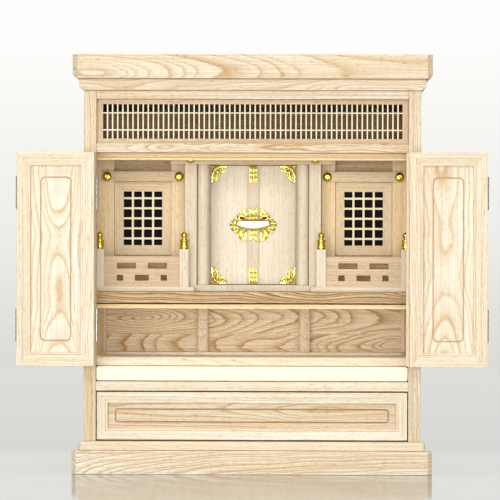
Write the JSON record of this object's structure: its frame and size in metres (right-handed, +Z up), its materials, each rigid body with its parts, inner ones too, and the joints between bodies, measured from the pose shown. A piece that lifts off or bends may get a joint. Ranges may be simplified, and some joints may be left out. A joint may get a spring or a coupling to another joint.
{
  "type": "household altar cabinet",
  "caption": "Pale wooden altar cabinet with folding doors, an inner shrine with gold fittings behind small fences, a niche, a pull-out board and a drawer.",
  "frame": {"origin": "on the ground under the middle of the whole object as it stands with its doors folded back", "axes": "+Z up, +X to the right seen from the front, front towards -Y"},
  "size_m": [0.6802, 0.3952, 0.606],
  "materials": {
    "ash": "fine-sanded, unfinished",
    "inner_ash": "fine-sanded, unfinished",
    "cypress": "planed, unfinished",
    "cream_board": "smooth, satin",
    "lattice_wood": "planed",
    "brown_wood": "matt",
    "dark_lining": "matt black",
    "gold": "polished gold plate",
    "hinge_steel": "bright nickel"
  },
  "bodies": {
    "cabinet": {"plinth": "ash", "base_board": "ash", "back_panel": "ash", "upper_rail": "ash", "lintel_rail": "ash", "cornice": "ash", "top_cap": "ash", "transom_lattice": "lattice_wood", "ceiling_board": "brown_wood", "door_stop": "inner_ash", "shrine_shelf": "ash", "niche_top_board": "inner_ash", "niche_back": "inner_ash", "niche_floor": "ash", "middle_rail": "ash", "shrine_case": "cypress", "shrine_beam": "cypress", "left_side_panel": "ash", "left_front_stile": "ash", "left_shrine_front": "cypress", "left_shrine_lattice": "cypress", "left_fence": "cypress", "left_finial_inner": "gold", "left_finial_outer": "gold", "left_stile_hinge_lower": "hinge_steel", "left_stile_hinge_upper": "hinge_steel", "right_side_panel": "ash", "right_front_stile": "ash", "right_shrine_front": "cypress", "right_shrine_lattice": "cypress", "right_fence": "cypress", "right_finial_inner": "gold", "right_finial_outer": "gold", "right_stile_hinge_lower": "hinge_steel", "right_stile_hinge_upper": "hinge_steel", "niche_side_left": "inner_ash", "niche_batten_left": "inner_ash", "shrine_column_left": "cypress", "niche_side_right": "inner_ash", "niche_batten_right": "inner_ash", "shrine_column_right": "cypress"},
    "left_inner_leaf": {"left_inner_leaf_frame": "ash", "left_inner_leaf_panel": "ash", "left_fold_hinge_lower": "hinge_steel", "left_fold_hinge_upper": "hinge_steel"},
    "left_outer_leaf": {"left_outer_leaf_frame": "ash", "left_outer_leaf_panel": "ash"},
    "right_inner_leaf": {"right_inner_leaf_frame": "ash", "right_inner_leaf_panel": "ash", "right_fold_hinge_lower": "hinge_steel", "right_fold_hinge_upper": "hinge_steel"},
    "right_outer_leaf": {"right_outer_leaf_frame": "ash", "right_outer_leaf_panel": "ash"},
    "drawer": {"drawer_front_frame": "ash", "drawer_front_panel": "ash", "drawer_box": "inner_ash"},
    "slide_board": {"pull_out_board": "cream_board"},
    "left_shrine_door": {"shrine_door_left": "cypress", "shrine_meeting_batten": "cypress"},
    "right_shrine_door": {"shrine_door_right": "cypress"}
  },
  "joints": [
    {"name": "left_door_swing", "type": "hinge", "parent": "cabinet", "child": "left_inner_leaf", "pos_m": [-0.225, -0.1552, 0.31], "axis": [0, 0, -1], "range_deg": [-180, 0]},
    {"name": "left_door_fold", "type": "hinge", "parent": "left_inner_leaf", "child": "left_outer_leaf", "pos_m": [-0.33763, -0.1778, 0.31], "axis": [0, 0, -1], "range_deg": [0, 180]},
    {"name": "right_door_swing", "type": "hinge", "parent": "cabinet", "child": "right_inner_leaf", "pos_m": [0.225, -0.1552, 0.31], "axis": [0, 0, 1], "range_deg": [-180, 0]},
    {"name": "right_door_fold", "type": "hinge", "parent": "right_inner_leaf", "child": "right_outer_leaf", "pos_m": [0.33763, -0.1778, 0.31], "axis": [0, 0, 1], "range_deg": [0, 180]},
    {"name": "drawer_slide", "type": "slide", "parent": "cabinet", "child": "drawer", "axis": [0, -1, 0], "range_m": [0, 0.22]},
    {"name": "board_slide", "type": "slide", "parent": "cabinet", "child": "slide_board", "axis": [0, -1, 0], "range_m": [0, 0.2]},
    {"name": "left_shrine_door_swing", "type": "hinge", "parent": "cabinet", "child": "left_shrine_door", "pos_m": [-0.0634, -0.0404, 0.361], "axis": [0, 0, -1], "range_deg": [0, 70]},
    {"name": "right_shrine_door_swing", "type": "hinge", "parent": "cabinet", "child": "right_shrine_door", "pos_m": [0.0634, -0.0404, 0.361], "axis": [0, 0, 1], "range_deg": [0, 70]}
  ],
  "couplings": [
    {"joint": "left_door_fold", "follows": "left_door_swing", "ratio": -1},
    {"joint": "right_door_fold", "follows": "right_door_swing", "ratio": -1},
    {"joint": "right_shrine_door_swing", "follows": "left_shrine_door_swing", "ratio": 1}
  ]
}
